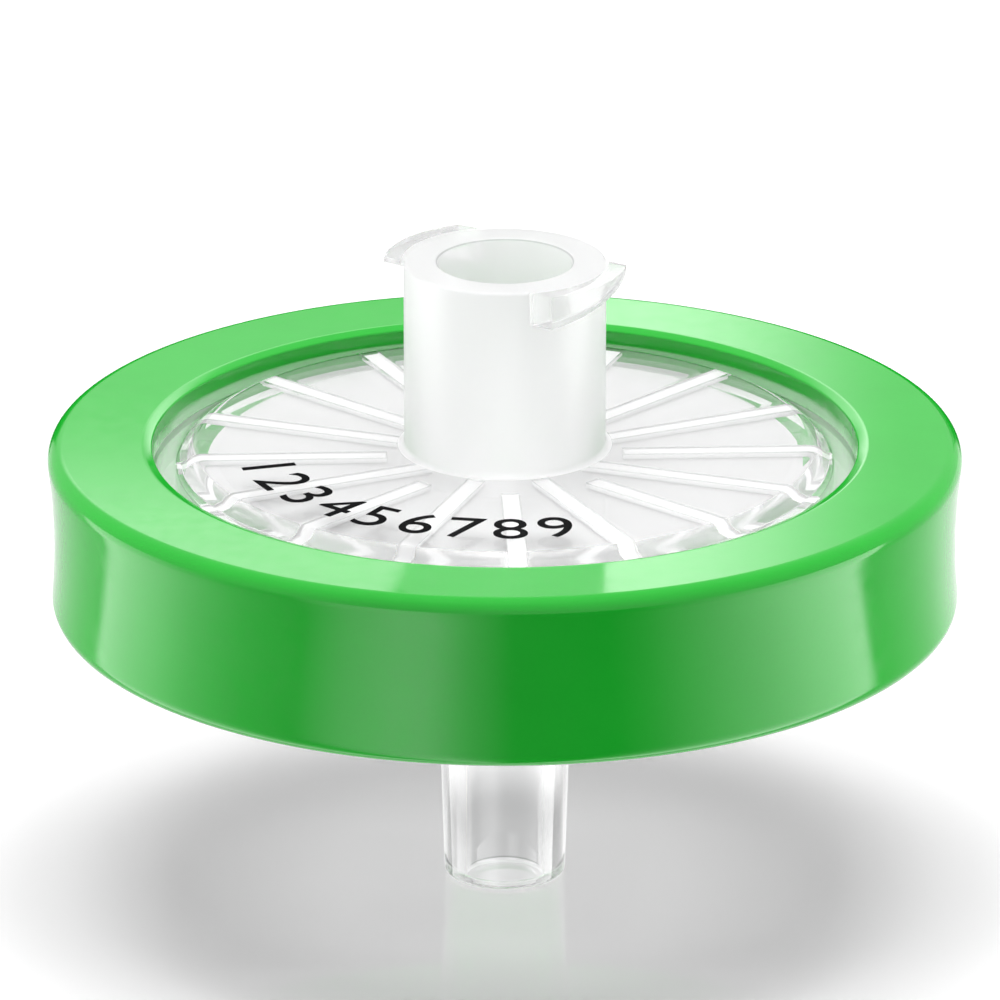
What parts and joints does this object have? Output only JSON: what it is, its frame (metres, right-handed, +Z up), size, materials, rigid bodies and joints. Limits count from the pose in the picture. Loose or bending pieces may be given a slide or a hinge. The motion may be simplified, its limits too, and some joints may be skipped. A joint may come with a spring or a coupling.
{
  "type": "syringe filter",
  "caption": "Disc syringe filter: clear welded housing round a white membrane, Luer-lock hub on top, Luer-slip outlet tube below, green ring moulded over the rim.",
  "frame": {"origin": "centre of the end face of the outlet's Luer tip", "axes": "+Z up the common axis from the outlet to the inlet hub; -Y is the front, with the thick end of one lug at the front left of +X"},
  "size_m": [0.0294, 0.0294, 0.021],
  "materials": {
    "inlet_plastic": "gloss",
    "outlet_plastic": "gloss",
    "membrane_film": "matte",
    "ring_plastic": "gloss"
  },
  "bodies": {
    "root": {"inlet_housing": "inlet_plastic", "outlet_housing": "outlet_plastic", "membrane": "membrane_film", "seal_ring": "ring_plastic"}
  },
  "joints": []
}
